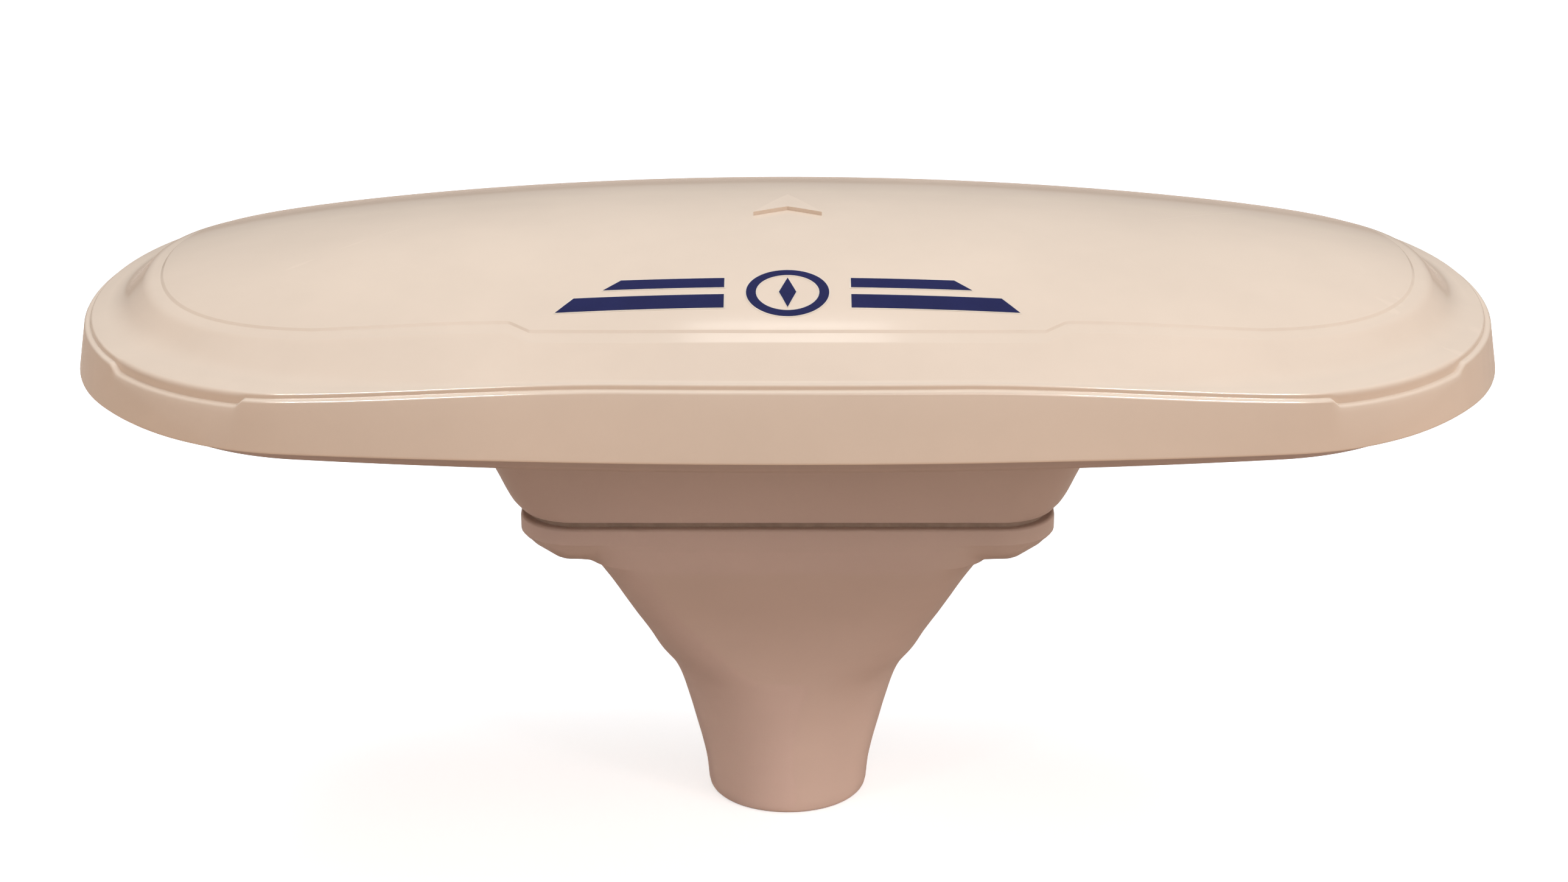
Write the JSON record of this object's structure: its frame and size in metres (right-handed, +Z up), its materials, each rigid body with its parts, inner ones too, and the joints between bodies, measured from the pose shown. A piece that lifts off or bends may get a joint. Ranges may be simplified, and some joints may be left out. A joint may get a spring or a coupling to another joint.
{
  "type": "satellite compass antenna",
  "caption": "Long low dome antenna for a boat with two satellite patch aerials inside, on a rounded neck and a flared socket that screws onto an antenna pole.",
  "frame": {"origin": "centre of the pole socket's bottom rim, on the axis of the pole thread", "axes": "+Z up along the pole, +X along the length of the dome, +Y the way the heading arrow points"},
  "size_m": [0.259, 0.131, 0.1161],
  "materials": {
    "antenna_ceramic": "fired ceramic",
    "black_plastic": "moulded",
    "black_rubber": "matt silicone rubber",
    "brass_fittings": "turned brass",
    "cable_jacket": "vinyl sleeve",
    "capacitor_cans": "sleeved cans",
    "circuit_board": "green solder mask on glass-epoxy",
    "dome_shell": "glossy moulded ASA, ivory white",
    "ground_aluminium": "plain sheet",
    "housing_shell": "satin-gloss moulded ASA, ivory white",
    "mount_shell": "satin moulded ASA, ivory white",
    "shield_tin": "tinned sheet steel",
    "silver_film": "silver-fired electrode",
    "stainless": "plain stainless steel",
    "white_nylon": "moulded nylon"
  },
  "bodies": {
    "root": {"board_header": "black_plastic", "board_screws": "stainless", "capacitors": "capacitor_cans", "connector_insert": "black_plastic", "connector_nut": "stainless", "connector_oring": "black_rubber", "connector_pins": "brass_fittings", "cover_screws": "stainless", "data_connector": "stainless", "dome_cover": "dome_shell", "gyro_sensor": "black_plastic", "harness": "cable_jacket", "header_plug": "white_nylon", "housing_seal": "black_rubber", "left_amplifier_shield": "shield_tin", "left_feed_pin": "brass_fittings", "left_ground_plane": "ground_aluminium", "left_patch_ceramic": "antenna_ceramic", "left_patch_electrode": "silver_film", "left_plane_posts": "brass_fittings", "lower_housing": "housing_shell", "main_board": "circuit_board", "mount_gasket": "black_rubber", "mount_inserts": "brass_fittings", "mount_screws": "stainless", "pole_mount": "mount_shell", "power_inductor": "black_plastic", "processor_chip": "black_plastic", "receiver_shield": "shield_tin", "right_amplifier_shield": "shield_tin", "right_feed_pin": "brass_fittings", "right_ground_plane": "ground_aluminium", "right_patch_ceramic": "antenna_ceramic", "right_patch_electrode": "silver_film", "right_plane_posts": "brass_fittings", "tilt_sensor": "black_plastic", "vent_plug": "black_plastic"}
  },
  "joints": []
}
